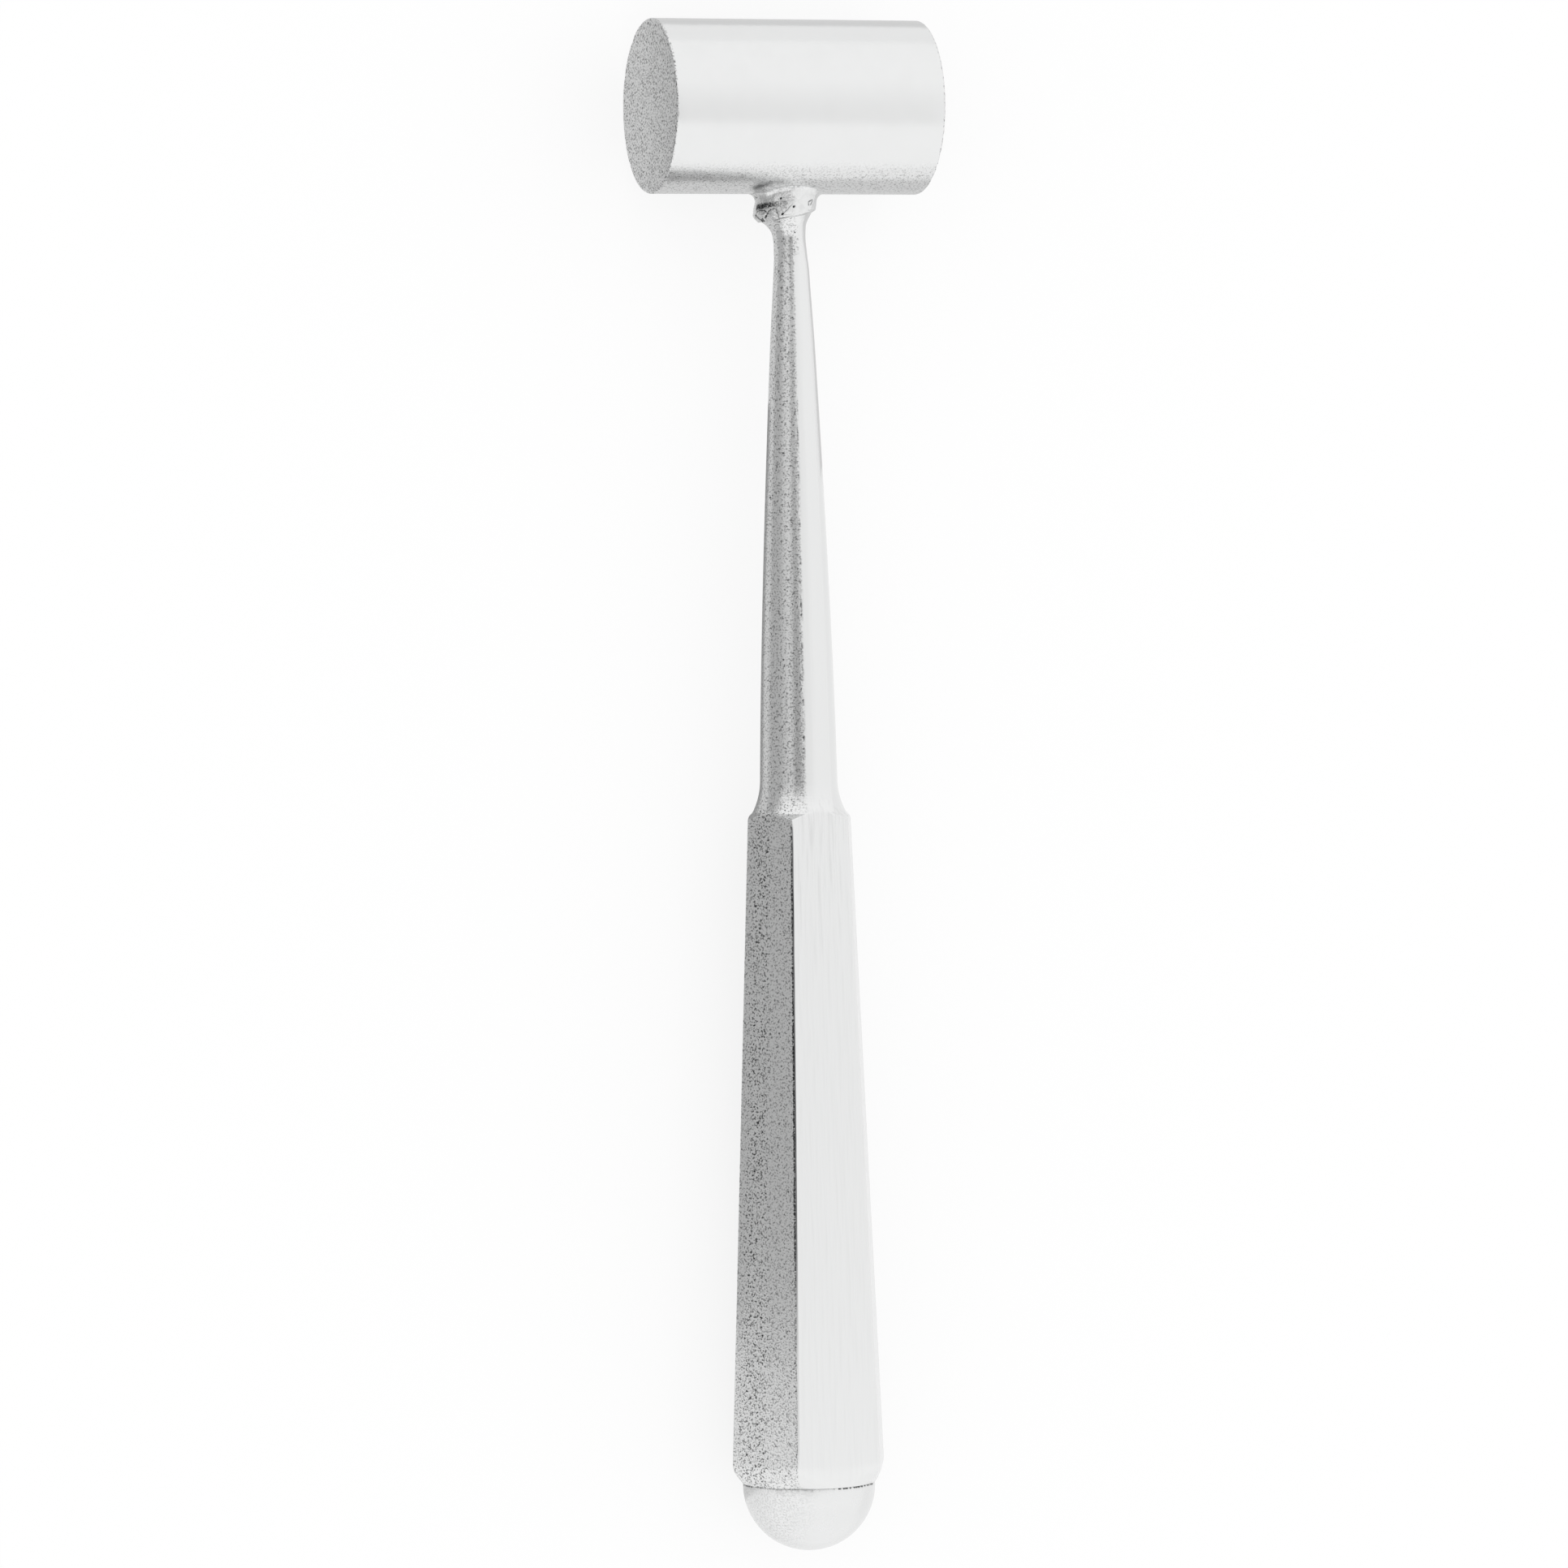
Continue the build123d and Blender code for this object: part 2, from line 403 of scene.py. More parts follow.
def shoulder_side(along):
    """The radius of the shoulder: a wide hollow that ends in a short steep step."""
    hollow = shoulder_radius - sqrt(shoulder_radius**2 - (along - shoulder_start) ** 2)
    step = shoulder_step * smooth(along, shoulder_start + step_start, shoulder_start + step_end)
    return shaft_knots[-1][1] + hollow + step


def blank(along):
    """The radius of the turned blank at one distance from the head's axis."""
    if along < shoulder_start:
        return shaft_side(along)
    if along < shoulder_end:
        return shoulder_side(along)
    cone_start = shoulder_side(shoulder_end)
    return cone_start + (cone_end - cone_start) * (along - shoulder_end) / (seam - shoulder_end)


# %% [markdown]
# The ridges are a little unevenly spaced, as hand grinding leaves them. The flat between two ridges is
# a straight line in the section, and its distance from the axis follows from the two corners. The grain
# differs from flat to flat: those on the left have the open, speckled grain of a coarse belt, which also
# paints them darker as a painted reflection of the dark side of the room, with the most specks in a band
# near the left edge, and the others are nearly smooth. A dark hairline runs along the front ridge, and
# buffing compound stayed in a broken one along the shaft. Below the bead the neck is drawn in by hand,
# more on its right, where crumbs of weld scale were left.

# %% The six flats
ridges = [radians(angle) for angle in (-87.1, -27.0, 40.9, 92.9, 153.0, 220.9, 272.9)]
flats = [((left + right) / 2, cos((right - left) / 2)) for left, right in zip(ridges, ridges[1:])]
ridge_top, ridge_butt = 6.71, 10.27
ridge_softness = 0.055
arc_softness = 0.03
shaft_line = radians(-10.5)
grip_turns = []
points_per_flat = 64
for left, right in zip(ridges, ridges[1:]):
    for share in spread(0.0, 1.0, points_per_flat):
        grip_turns.append(left + (right - left) * (share - 0.13 * sin(2 * pi * share)))


def soft_least(values, softness):
    """The least of some values, rounded off where two are nearly the same."""
    least = min(values)
    return least - softness * log(sum(exp((least - value) / softness) for value in values))


def flats_radius(turn, along):
    """The radius of the six-sided body at one turn and one distance."""
    corner_reach = ridge_top + (ridge_butt - ridge_top) * (along - shoulder_start) / (seam - shoulder_start)
    facing = [(cos(turn - middle), depth) for middle, depth in flats]
    reaches = [corner_reach * depth / share for share, depth in facing if share > 0.2]
    return soft_least(reaches, ridge_softness)


def waist(turn, along):
    """How far the handle is drawn in below the bead: more on its right than on its left."""
    right, left = smooth(sin(turn), 0.0, 0.9), smooth(-sin(turn), 0.0, 0.9)
    drawn = 0.36 * right * smooth(along, 13.2, 14.8) * (1 - smooth(along, 15.6, 20.5))
    drawn += 0.22 * left * smooth(along, 13.6, 14.8) * (1 - smooth(along, 15.2, 16.8))
    drawn += 0.10 * smooth(along, 17.2, 19) * (1 - smooth(along, 20, 30))
    return drawn - 0.2 * right * (1 - smooth(along, 12.9, 14.0))


def grip_radius(turn, along):
    """The radius of the handle at one turn and one distance."""
    if along < shoulder_start:
        return blank(along) - waist(turn, along)
    place = (8 * sin(turn), 8 * cos(turn), along / 5)
    wave = 0.008 * rough(place, 2.5, 31)
    radius = soft_least([blank(along), flats_radius(turn, along) + wave], arc_softness)
    dressed = max(0.0, 1 - (seam - along) / butt_round) ** butt_ease
    return radius + (cap_radius - radius) * dressed


def ridge_hairline(turn, along):
    """The dark hairline of the front ridge, which fades towards the butt."""
    away = abs(turn - ridges[1]) * 8
    wander = 0.02 * rough((turn * 8, 0, along), 1.2, 33)
    fading = (1 - 0.8 * smooth(along, 135, 158)) * (1 - smooth(along, 165, 168))
    broken = 0.85 + 0.15 * rough((turn, 5, along), 2.0, 34)
    return (1 - smooth(away + wander, 0.14, 0.22)) * smooth(along, 88.3, 90) * fading * broken


def shaft_hairline(turn, along):
    """A broken line of buffing compound along the shaft."""
    away = abs(turn - shaft_line) * 4
    present = smooth(along, 32, 40) * (1 - smooth(along, 79, 82))
    broken = smooth(rough((3, 7, along), 0.9, 35), -0.05, 0.3)
    return 0.7 * (1 - smooth(away, 0.04, 0.13)) * present * broken


def neck_scale(turn, along):
    """Crumbs of weld scale on the right of the neck."""
    stretch = smooth(turn, radians(58), radians(66)) * (1 - smooth(turn, radians(76), radians(84)))
    stretch *= smooth(along, 13.2, 13.6) * (1 - smooth(along, 15.0, 15.5))
    return 0.85 * stretch * smooth(rough((8 * turn, 3, along), 0.35, 36), -0.3, 0.1)


def handle_dirt(turn, along):
    """The soot number of the handle: the strongest of its three dark marks."""
    return max(ridge_hairline(turn, along), shaft_hairline(turn, along), neck_scale(turn, along))


def openness(turn, along):
    """How open the ground grain is: coarse on the left, nearly none on the right, which paints the left
    darker.
    """
    before_back = smooth(ridges[4] - turn, -0.01, 0.01)
    if along < neck_end + 1:
        return 0.5 * (1 - smooth(turn, 0.0, radians(14)) * before_back)
    coarse = 1 - smooth(turn, ridges[1] - 0.01, ridges[1] + 0.01)
    coarse += smooth(turn, ridges[4] - 0.01, ridges[4] + 0.01)
    # Painted reflection: the most open grain, and so the darkest, lies in a band where the left flat faces
    # the dark side of the room.
    band = 1 - smooth(abs(turn - radians(-68)), radians(6), radians(16))
    on_grip = smooth(along, 86, 88)
    left = 1 - smooth(turn, radians(-14), radians(-6)) * before_back
    return on_grip * coarse * (0.62 + 0.38 * band) + 0.6 * (1 - on_grip) * left


# %% [markdown]
# The top of the handle spreads into the bead and leans to the left. Its rings run down from inside the
# bead to the neck, each point a share of the way from the bead's sloping lower line. Below the neck the
# rings are level. They crowd where the form changes fast: where the flats begin, and at the butt.

# %% Rings of the handle
flare_rows = 26
inside_bead = 0.5


def flare_point(turn, share):
    """A point of the flare; share runs from 0 at the bead's lower line to 1 at the neck."""
    start = head_radius + weld_height
    for _ in range(8):
        growth = flare_growth(start)
        across = handle_offset - flare_lean * growth + (neck_radius + growth) * sin(turn)
        start = weld_middle.z - (across - weld_middle.x) * tan(weld_slope)
    along = start + (neck_end - start) * share
    growth = flare_growth(along)
    radius = neck_radius + growth - waist(turn, along)
    middle = handle_offset - flare_lean * growth
    return (middle + radius * sin(turn), radius * cos(turn), along)


rows_along = spread(neck_end, shoulder_start, 88) + spread(shoulder_start, 86.2, 14)
rows_along += spread(86.2, 89.4, 52) + spread(89.4, 166.0, 34) + spread(166.0, seam, 30) + [seam]
handle_rings, handle_soot, handle_grain = [], [], []
hidden = [Vector(flare_point(turn, 0.0)) for turn in grip_turns]
handle_rings.append([(0.8 * point.x, 0.8 * point.y, point.z - inside_bead) for point in hidden])
for share in spread(0.0, 1.0, flare_rows):
    handle_rings.append([flare_point(turn, share) for turn in grip_turns])
for along in rows_along:
    ring = []
    for turn in grip_turns:
        radius = grip_radius(turn, along)
        ring.append((handle_offset + radius * sin(turn), radius * cos(turn), along))
    handle_rings.append(ring)
for ring in handle_rings:
    along = ring[0][2]
    handle_soot.append([handle_dirt(turn, along) for turn in grip_turns])
    handle_grain.append([openness(turn, along) for turn in grip_turns])
handle = skin("shaft_and_grip", "handle", handle_rings, handle_soot, handle_grain)

# %% [markdown]
# ## The domed cap
#
# A turned cap closes the drilled grip. It is pressed and welded in, then dressed flush, which leaves a
# hairline seam with gas pits where the weld didn't fill. The cap is a land a fraction of a millimetre
# high and then a hemisphere. Two stretches of the seam are open, and noise breaks up the rest.

# %% Cap
cap_land = 0.2
cap_points = 900
dome_rows = 48
open_stretches = [(4, 58, 1.0), (-104, -78, 0.8), (150, 190, 0.7)]


def seam_opening(turn):
    """How open the seam is at one turn about the handle, from 0 to 1."""
    place = (cap_radius * sin(turn), cap_radius * cos(turn), 0)
    around = (turn + pi) % (2 * pi) - pi
    stretch = 0.08
    for start, end, amount in open_stretches:
        inside = smooth(around, radians(start - 4), radians(start + 4))
        inside *= 1 - smooth(around, radians(end - 5), radians(end + 5))
        stretch = max(stretch, amount * inside)
    crumbs = smooth(rough(place, 0.32, 22) + 0.5 * rough(place, 1.3, 23), -0.25, 0.3)
    return stretch * crumbs


def cap_ring(radius, along, share):
    """One ring of the cap, with the seam's pits cut in by the given share, and its soot."""
    ring, marks = [], []
    for index in range(cap_points):
        turn = 2 * pi * index / cap_points
        uneven = 0.5 + 0.5 * rough((cap_radius * sin(turn), cap_radius * cos(turn), 9 * along), 0.25, 24)
        opening = share * seam_opening(turn) * (uneven if share < 1 else 1.0)
        pit = radius - 0.16 * opening
        ring.append((handle_offset + pit * sin(turn), pit * cos(turn), along))
        marks.append(min(1.0, 2.2 * opening))
    return ring, marks


cap_rows = [cap_ring(cap_radius - 0.03, seam + 0.005, 1.0), cap_ring(cap_radius, seam + 0.04, 1.0)]
cap_rows += [cap_ring(cap_radius, seam + 0.10, 0.9), cap_ring(cap_radius, seam + 0.17, 0.5)]
for row in range(dome_rows):
    rise = pi / 2 * row / dome_rows
    cap_rows.append(cap_ring(cap_radius * cos(rise), seam + cap_land + cap_radius * sin(rise), 0.0))
cap = skin("domed_cap", "end_cap", [row[0] for row in cap_rows], [row[1] for row in cap_rows])

# %% [markdown]
# ## Shader sums written as Python
#
# A shader is a web of nodes, and its maths soon gets hard to read. Two small classes keep it readable.
# A Socket stands for one output, and adding or multiplying sockets adds the Math nodes. A Shader adds
# any other node, with its settings first and then its inputs.

# %% Sockets that can be added and multiplied
class Socket:
    """One output of a node. An expression written with it adds Math nodes to the same tree."""

    def __init__(self, shader, output):
        self.shader = shader
        self.output = output

    def math(self, operation, *others):
        return self.shader.add("ShaderNodeMath", {"operation": operation}, [self, *others])

    def __add__(self, other):
        return self.math("ADD", other)

    def __mul__(self, other):
        return self.math("MULTIPLY", other)

    def __sub__(self, other):
        return self.math("SUBTRACT", other)

    def __rsub__(self, other):
        return self.math("MULTIPLY_ADD", -1.0, other)

    def __truediv__(self, other):
        return self.math("DIVIDE", other)

    def __abs__(self):
        return self.math("ABSOLUTE")

    __radd__ = __add__
    __rmul__ = __mul__


class Shader:
    """A node tree, and the one method that adds a node to it."""

    def __init__(self, owner):
        owner.use_nodes = True
        self.tree = owner.node_tree
        self.tree.nodes.clear()

    def add(self, kind, settings=None, inputs=(), output=0):
        """Add a node: its settings are set first, then its inputs get values or links."""
        node = self.tree.nodes.new(kind)
        for name, value in (settings or {}).items():
            if name == "stops":
                self.set_stops(node.color_ramp, value)
            else:
                setattr(node, name, value)
        pairs = inputs.items() if isinstance(inputs, dict) else enumerate(inputs)
        for key, value in pairs:
            if isinstance(value, Socket):
                self.tree.links.new(value.output, node.inputs[key])
            else:
                node.inputs[key].default_value = value
        return Socket(self, node.outputs[output]) if node.outputs else None

    def set_stops(self, ramp, stops):
        """Give a colour ramp its stops, each a place and a grey."""
        while len(ramp.elements) < len(stops):
            ramp.elements.new(1.0)
        for element, (place, grey) in zip(ramp.elements, stops):
            element.position = place
            element.color = (grey, grey, grey, 1.0)

    def noise(self, vector, scale, detail=2.0):
        """Soft noise from about 0 to 1."""
        return self.add("ShaderNodeTexNoise", {}, {"Vector": vector, "Scale": scale, "Detail": detail})

    def step(self, value, low, high, start=0.0, end=1.0):
        """An easy climb from start to end as value goes from low to high."""
        settings = {"interpolation_type": "SMOOTHSTEP"}
        return self.add("ShaderNodeMapRange", settings, [value, low, high, start, end])

    def blend(self, share, first, second):
        """A colour between two colours."""
        return self.add("ShaderNodeMix", {"data_type": "RGBA"}, {0: share, 6: first, 7: second}, 2)

    def parts(self, vector):
        """The X, Y and Z of a vector, each as a socket."""
        node = self.add("ShaderNodeSeparateXYZ", {}, [vector]).output.node
        return [Socket(self, output) for output in node.outputs]

    def place(self):
        """The place of the shaded point on the table, in metres."""
        return self.add("ShaderNodeTexCoord", {}, {}, "Object")

    def mark(self, name):
        """A number kept with the points of the skin."""
        return self.add("ShaderNodeAttribute", {"attribute_name": name}, {}, "Fac")

    def stretched(self, place, x, y, z):
        """A place scaled so that noise of scale 1 in it has bumps of x by y by z millimetres."""
        scale = tuple(1 / (size * millimetre) for size in (x, y, z))
        return self.add("ShaderNodeMapping", {"vector_type": "POINT"}, {"Vector": place, "Scale": scale})


# %% [markdown]
# ## The steel
#
# All the pieces are the same steel, so one function closes every finish. The bare metal is a pale, very
# slightly cool grey with no paint or oil on it. What the eye reads as satin is a fine grain that tips
# the surface a few degrees here and there and holds a little grey in its hollows. So the grain goes
# both into a Bump node and, where the surface is open, into the colour. Stretching the noise along one
# direction turns grain into brushing.

# %% The finish of ground steel
steel_colour = (0.783, 0.787, 0.786, 1.0)
soot_and_shade_colour = (0.035, 0.036, 0.038, 1.0)
grain_scale = 4200


def finish_steel(shader, tone, roughness, height, bump_reach):
    """The closing nodes of every steel: metal of one tone from soot and painted shade to bare, with a bump.
    """
    colour = shader.blend(tone.math("MAXIMUM", 0.0), soot_and_shade_colour, steel_colour)
    settings = {"Height": height, "Distance": bump_reach * millimetre, "Strength": 1.0}
    normal = shader.add("ShaderNodeBump", {}, settings)
    values = {"Base Color": colour, "Metallic": 1.0, "Roughness": roughness, "Normal": normal}
    surface = shader.add("ShaderNodeBsdfPrincipled", {}, values)
    shader.add("ShaderNodeOutputMaterial", {}, {"Surface": surface})


def dress(piece, name, finish):
    """Make a material, let its finish fill it with nodes, and give it to a piece."""
    material = bpy.data.materials.new(name)
    finish(Shader(material))
    piece.data.materials.clear()
    piece.data.materials.append(material)
    print(piece.name, "wears", name)


# %% [markdown]
# ### Head: satin barrel, ground faces
#
# The barrel is turned and then brushed, and its lower half is a little more open, which also paints it
# darker as a painted reflection of the neck. The faces are ground and then hammered on for years: their
# grain is coarse and points every way. The place along the head tells the two apart.

# %% Head steel
def head_finish(shader):
    """Satin barrel and coarser ground faces."""
    place = shader.place()
    x, y, _ = shader.parts(place)
    face = shader.step(abs(x), (head_half - 0.3) * millimetre, (head_half - 0.05) * millimetre)
    # Painted reflection: more open grain darkens the lower side of the barrel.
    low_side_grain_and_reflection = shader.step(y, head_axis.y - 9.5 * millimetre, head_axis.y - 7 * millimetre, 1.0, 0.0)
    open_grain = face + 0.45 * low_side_grain_and_reflection * (1 - face)
    grain = shader.noise(place, grain_scale, 3.0)
    coarse = shader.noise(place, 2300, 3.0)
    fine = shader.noise(place, 900, 4.0)
    clouds = shader.noise(place, 180, 2.0)
    tone = 1.0 - open_grain * (6.0 * (grain - 0.5) + 0.4 * shader.step(coarse, 0.56, 0.74))
    tone = tone - 0.06 * abs(clouds - 0.5)
    roughness = 0.20 + 0.10 * face + 0.10 * (fine - 0.5)
    height = coarse * (0.3 + 1.6 * face) + 0.5 * fine + open_grain * grain
    finish_steel(shader, tone, roughness, height, 0.03)


dress(head, "head_satin_steel", head_finish)

# %% [markdown]
# ### Weld: dressed bead with soot and painted shade in its flaws
#
# The bead is the least polished part. The soot and shade number of each point paints shade into the pits
# and laps and under the front lip, darkens the smear of scale, and makes them dull. The grain number greys
# the side that was never dressed.

# %% Weld steel
def weld_finish(shader):
    """Dressed bead, dark and dull where its points carry soot and painted shade."""
    place = shader.place()
    soot, undressed = shader.mark("soot"), shader.mark("grain")
    grain = shader.noise(place, grain_scale, 3.0)
    clouds = shader.noise(place, 900, 3.0)
    tone = 1.0 - undressed * (0.12 + 1.8 * (grain - 0.5)) - 0.08 * shader.step(clouds, 0.45, 0.7)
    # Painted shade in the pits, cracks and under the lip, and soot in the smear of scale, darken the tone.
    tone = tone - 0.97 * soot
    roughness = 0.22 + 0.12 * undressed + 0.3 * soot
    finish_steel(shader, tone, roughness, grain + 0.8 * clouds, 0.035)


dress(weld, "weld_dressed_steel", weld_finish)

# %% [markdown]
# ### Handle: brushed lengthwise, turned at the shoulder
#
# The round shaft and the flats are belted lengthwise, so their streaks are many times longer than wide.
# The shoulder still shows the fine rings of the lathe. The grain number of each point opens the surface
# on the coarse flats: grey grain everywhere, and dark specks where a finer noise passes a limit, which also
# darkens the left of the handle as a painted reflection of the dark side of the room. The shaft is the most
# polished stretch.

# %% Handle steel
def handle_finish(shader):
    """Lengthwise brushing, lathe rings at the shoulder, open grain on the coarse flats."""
    place = shader.place()
    y = shader.parts(place)[1]
    soot, open_grain = shader.mark("soot"), shader.mark("grain")
    along = (head_axis.y - y) / millimetre
    shaft = shader.step(along, 84.0, 88.0, 1.0, 0.0)
    shoulder = shader.step(along, 79, 83) * shader.step(along, 88, 90, 1.0, 0.0)
    grain = shader.noise(place, grain_scale, 3.0)
    pores = shader.noise(place, 3000, 2.0)
    streaks = shader.noise(shader.stretched(place, 0.35, 9.0, 0.35), 1.0, 3.0)
    rings = shader.noise(shader.stretched(place, 8.0, 0.22, 8.0), 1.0, 2.0)
    specks = shader.step(pores, 0.60, 0.70)
    top_streaks = shader.step(along, 88.0, 112.0, 0.10, 0.02) * (1 - shaft)
    # Open grain greys the steel, and on the left of the handle it also stands for a painted reflection of
    # the dark side of the room.
    tone = 1.0 - open_grain * (6.0 * (grain - 0.5) + 0.8 * specks)
    tone = tone - top_streaks * shader.step(streaks, 0.45, 0.75) - soot
    roughness = 0.17 + 0.05 * streaks + 0.08 * open_grain - 0.04 * shaft
    brushed = streaks * (1 - 0.7 * shoulder) * (1 - open_grain)
    height = 0.3 * grain + brushed + 0.8 * rings * shoulder + 0.8 * open_grain * grain
    finish_steel(shader, tone, roughness, height, 0.03)


dress(handle, "handle_brushed_steel", handle_finish)

# %% [markdown]
# ### Cap: polished dome, sooty seam
#
# The dome is the smoothest part and only a little cloudy. Its left side was brushed with the same open
# grain as the flat above it, so the grain fades in towards that side.

# %% Cap steel
def cap_finish(shader):
    """A smooth dome, dark where the seam is open."""
    place = shader.place()
    x = shader.parts(place)[0]
    soot = shader.mark("soot")
    left_side = shader.step(x, -5 * millimetre, 0.0, 1.0, 0.0)
    grain = shader.noise(place, grain_scale, 3.0)
    clouds = shader.noise(place, 260, 3.0)
    tone = 1.0 - 0.04 * clouds - left_side * (0.04 + 0.9 * (grain - 0.5)) - 0.95 * soot
    roughness = 0.24 + 0.06 * clouds + 0.2 * soot
    finish_steel(shader, tone, roughness, 0.4 * grain + 0.5 * clouds, 0.025)


dress(cap, "cap_polished_steel", cap_finish)

# %% [markdown]
# ## The studio
#
# Polished metal has no look of its own: it shows the room. A plain white world lights the floor and
# fills the backdrop. The metal needs more than that, so a tent stands over the mallet, and only
# reflections see it: bright on the right, a dim gap above where a camera would look in, and greyer on
# the left. The angle round the handle picks the grey from a ramp, and towards both ends of the handle
# the tent turns white.

# %% World
world = bpy.data.worlds.new("white_room")
bpy.context.scene.world = world
room = Shader(world)
white = room.add("ShaderNodeBackground", {}, {"Color": (1.0, 1.0, 1.0, 1.0), "Strength": 1.0})
room.add("ShaderNodeOutputWorld", {}, {"Surface": white})

# %% Stage pieces that only reflections see
def stage_piece(name, points, faces, only_reflected=True):
    """A piece of the studio, which isn't part of the mallet."""
    mesh = bpy.data.meshes.new(name)
    mesh.from_pydata(points, [], faces)
    piece = bpy.data.objects.new(name, mesh)
    bpy.context.scene.collection.objects.link(piece)
    piece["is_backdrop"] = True
    if only_reflected:
        piece.visible_camera = False
        piece.visible_diffuse = False
        piece.visible_transmission = False
        piece.visible_shadow = False
    return piece


def glow(shader, colour):
    """Closing nodes for a surface that shines with one colour."""
    surface = shader.add("ShaderNodeEmission", {}, {"Color": colour, "Strength": 1.0})
    shader.add("ShaderNodeOutputMaterial", {}, {"Surface": surface})


# %% Tent
tent = [
    (-90, 0.50), (-70, 0.44), (-60, 0.58), (-48, 0.62), (-41, 0.82), (-36, 0.60), (-26, 0.31),
    (-13, 0.31), (-6, 0.60), (0, 0.93), (19, 0.96), (33, 1.03), (90, 1.03),
]
tent_radius = 0.45
tent_half = 0.75
end_grey = 1.08
butt_edges = (-0.16, -0.06)
head_edges = (-0.05, 0.38)


def tent_finish(shader):
    """Greys by the angle round the handle, white towards the ends."""
    x, y, z = shader.parts(shader.place())
    angle = x.math("ARCTAN2", z)
    stops = [((degree + 180) / 360, grey) for degree, grey in tent]
    side = shader.add("ShaderNodeValToRGB", {"stops": stops}, [angle / (2 * pi) + 0.5])
    towards_end = shader.step(y, *butt_edges, 1.0, 0.0) + shader.step(y, *head_edges)
    glow(shader, shader.blend(towards_end, side, (end_grey, end_grey, end_grey, 1.0)))


tent_steps = 90
arch = [radians(angle) for angle in spread(-90, 90, tent_steps)] + [pi / 2]
tent_points, tent_faces = [], []
for side in (-tent_half, tent_half):
    tent_points += [(tent_radius * sin(angle), side, tent_radius * cos(angle)) for angle in arch]
for step in range(tent_steps):
    tent_faces.append((step, step + 1, tent_steps + 2 + step, tent_steps + 1 + step))
tent_faces += [tuple(range(tent_steps + 1)), tuple(range(tent_steps + 1, 2 * tent_steps + 2))]
tent_piece = stage_piece("tent", tent_points, tent_faces)
dress(tent_piece, "tent_cloth", tent_finish)

# %% [markdown]
# Cards do the rest, as they do on a real table. A grey one lies and stands to the left of the handle and
# stops short of the butt: the left flat and the left of the shaft mirror it. A pale grey sheet under the
# handle, a darker strip on it and another sheet under the head are painted shadow: they stand in for the
# shade under the mallet where reflections see the floor. A white card stands beyond the cap and brightens
# the dome.

# %% Cards
def card(name, corners, grey):
    """A card of one grey. Its corners are places on the table in millimetres, in strips of four."""
    points = [Vector(corner) * millimetre for corner in corners]
    faces = [tuple(range(start, start + 4)) for start in range(0, len(points), 4)]
    piece = stage_piece(name, points, faces)
    dress(piece, name + "_paper", lambda shader: glow(shader, (grey, grey, grey, 1.0)))


side_lying = [(-24, 104, 0.3), (-24, -66, 0.3), (-150, -84, 0.3), (-150, 120, 0.3)]
side_standing = [(-150, 120, 0.3), (-150, -84, 0.3), (-150, -84, 52), (-150, 120, 52)]
card("side_card", side_lying + side_standing, 0.50)
# Painted shadow: these three grey sheets stand in for the shade under the handle and the head, seen only in
# reflections.
card("strip_card", [(-9, 48, 0.2), (5, 48, 0.2), (5, -84, 0.2), (-9, -84, 0.2)], 0.38)
card("sheet_card", [(-34, 40, 0.1), (6, 40, 0.1), (6, -90, 0.1), (-34, -90, 0.1)], 0.72)
card("head_card", [(-34, 112, 0.1), (34, 112, 0.1), (34, 40, 0.1), (-34, 40, 0.1)], 0.74)
card("cap_card", [(-40, -112, 0.1), (40, -112, 0.1), (40, -116, 46), (-40, -116, 46)], 1.05)

# %% [markdown]
# The floor is a pale sheet. It takes the object's soft shadow, and a light of its own, which the camera
# and reflections see, lifts it to the white of the backdrop.

# %% Floor
floor_half = 1.5
floor_grey = 0.22
floor_lift = 1.0 - floor_grey


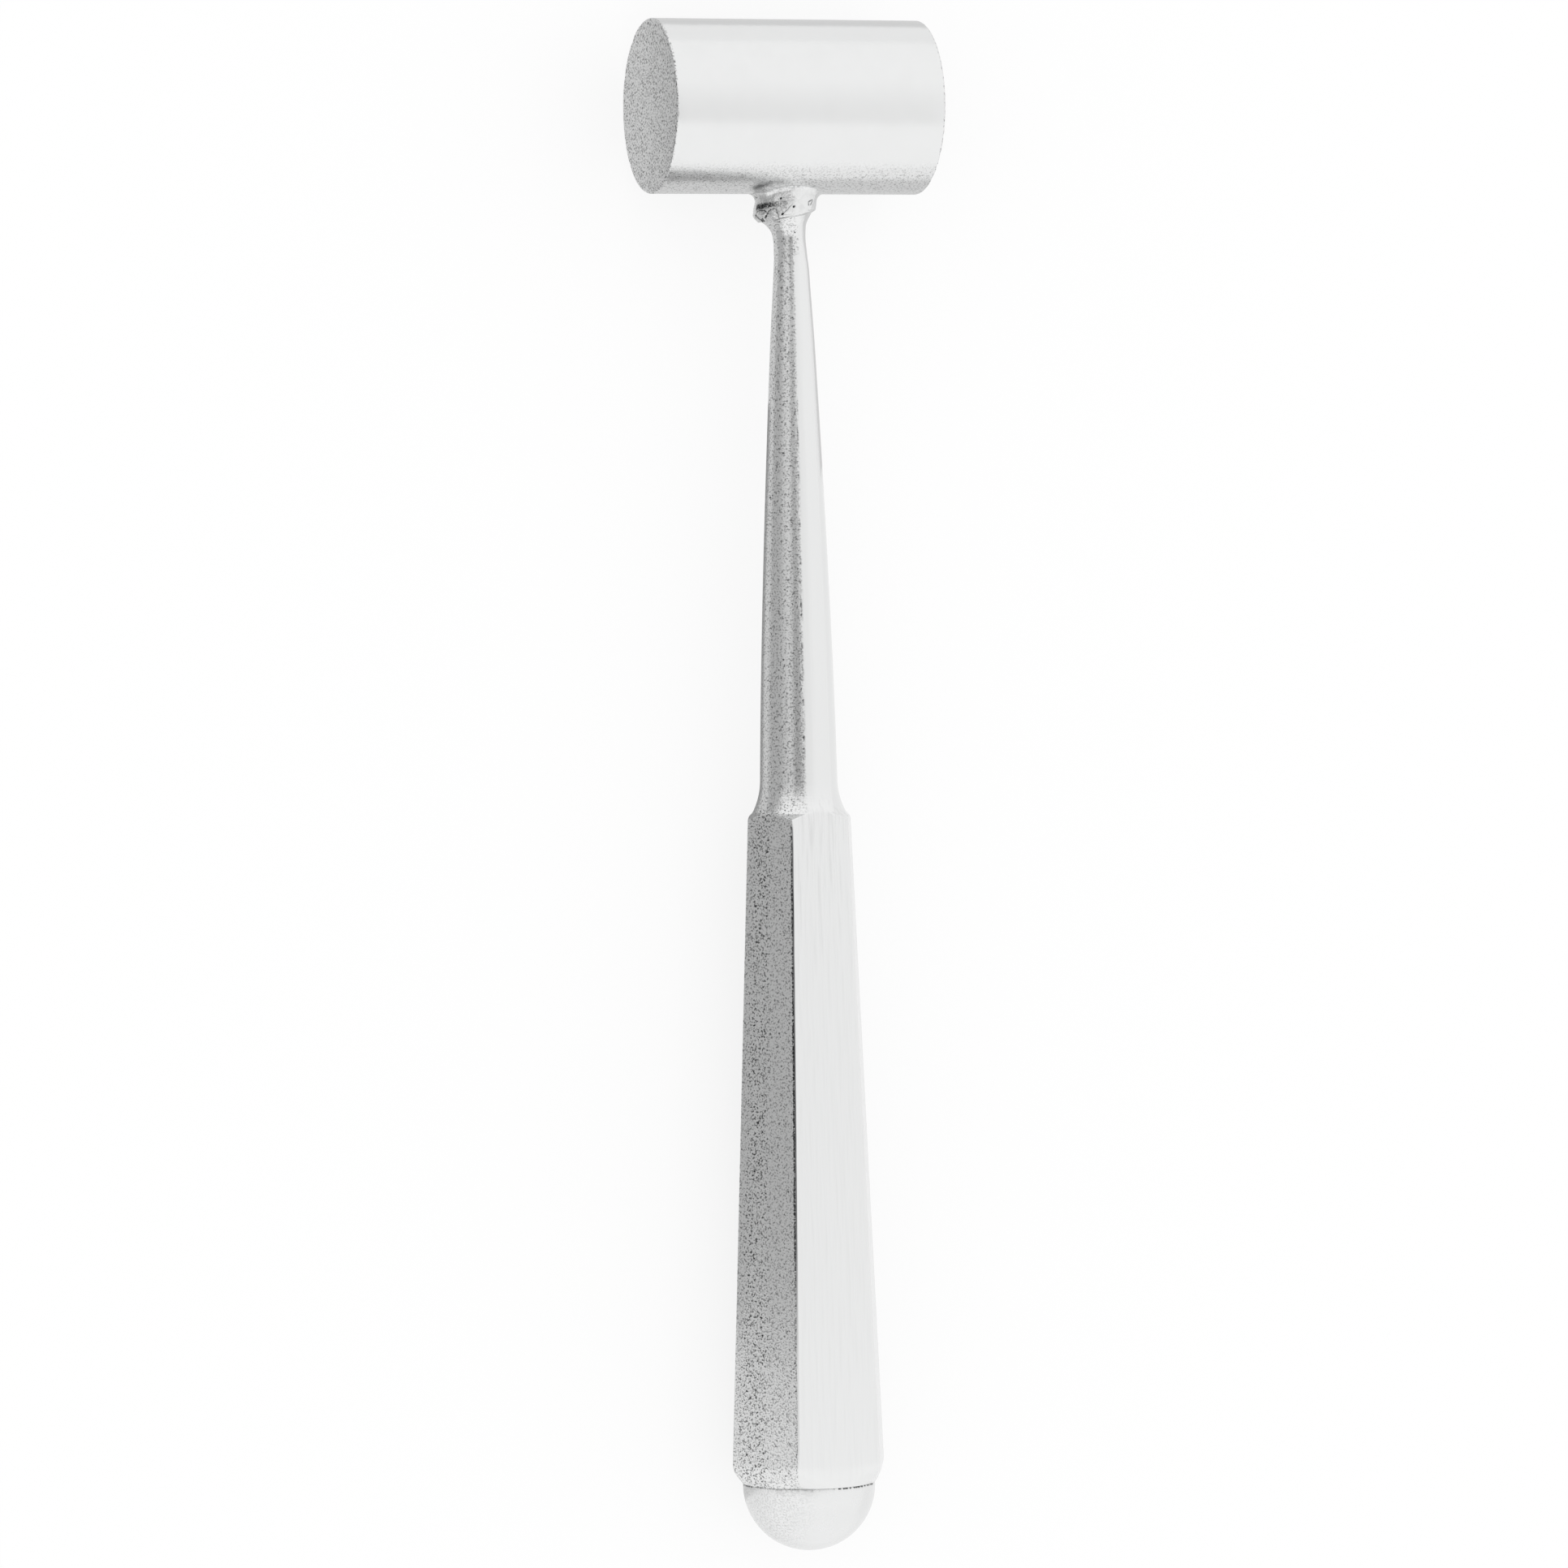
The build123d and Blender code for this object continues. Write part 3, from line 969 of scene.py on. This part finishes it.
def floor_finish(shader):
    """Pale and dull, and lifted to white for the camera and for reflections."""
    seen = shader.add("ShaderNodeLightPath", {}, {}, "Is Camera Ray")
    seen = seen + shader.add("ShaderNodeLightPath", {}, {}, "Is Glossy Ray")
    seen = seen + shader.add("ShaderNodeLightPath", {}, {}, "Is Transmission Ray")
    lift = shader.blend(seen.math("MINIMUM", 1.0), (0, 0, 0, 1), (floor_lift, floor_lift, floor_lift, 1))
    values = {"Base Color": (floor_grey, floor_grey, floor_grey, 1.0), "Roughness": 1.0}
    values |= {"Specular IOR Level": 0.0, "Emission Color": lift, "Emission Strength": 1.0}
    surface = shader.add("ShaderNodeBsdfPrincipled", {}, values)
    shader.add("ShaderNodeOutputMaterial", {}, {"Surface": surface})


floor_corners = [(-floor_half, -floor_half, 0), (floor_half, -floor_half, 0)]
floor_corners += [(floor_half, floor_half, 0), (-floor_half, floor_half, 0)]
floor = stage_piece("floor", floor_corners, [(0, 1, 2, 3)], only_reflected=False)
dress(floor, "pale_floor", floor_finish)

# %% [markdown]
# ## The camera
#
# The picture is taken with a long lens from almost a metre above. The camera stands a little to the
# left, so the left face of the head shows as a narrow ellipse. Three turns and one shift place it,
# seen from the head as it lies.

# %% Camera
view_turns = (("Y", 19.1108), ("X", 1.31767), ("Z", 0.84093))
view_shift = Vector((0.05347, -83.89715, 977.138)) * millimetre
camera_data = bpy.data.cameras.new("camera")
camera_data.sensor_width = 36.0
camera_data.lens = 181.066
camera_data.clip_end = 20.0
camera = bpy.data.objects.new("camera", camera_data)
view = Matrix.Identity(4)
for axis, degree in view_turns:
    view = Matrix.Rotation(radians(degree), 4, axis) @ view
head_place = Matrix.Translation(head_axis) @ Matrix.Rotation(resting_tilt, 4, "X")
camera.matrix_world = head_place @ view.inverted() @ Matrix.Translation(view_shift)
bpy.context.scene.collection.objects.link(camera)
bpy.context.scene.camera = camera
bpy.context.scene.view_settings.view_transform = "Standard"
print("camera at", [round(value, 4) for value in camera.matrix_world.translation])

# %% [markdown]
# ## Close
#
# The boxes of the dressed mallet and of the CAD model are both printed. The dressed mallet has
# to fill the same box as the CAD model.

# %% Sizes
visual_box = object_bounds()
boxes = {"cad": [list(corner) for corner in cad_box], "visual": [list(corner) for corner in visual_box]}
for name, box in boxes.items():
    print(name, "box in mm:", [[round(1000 * value, 2) for value in side] for side in box])
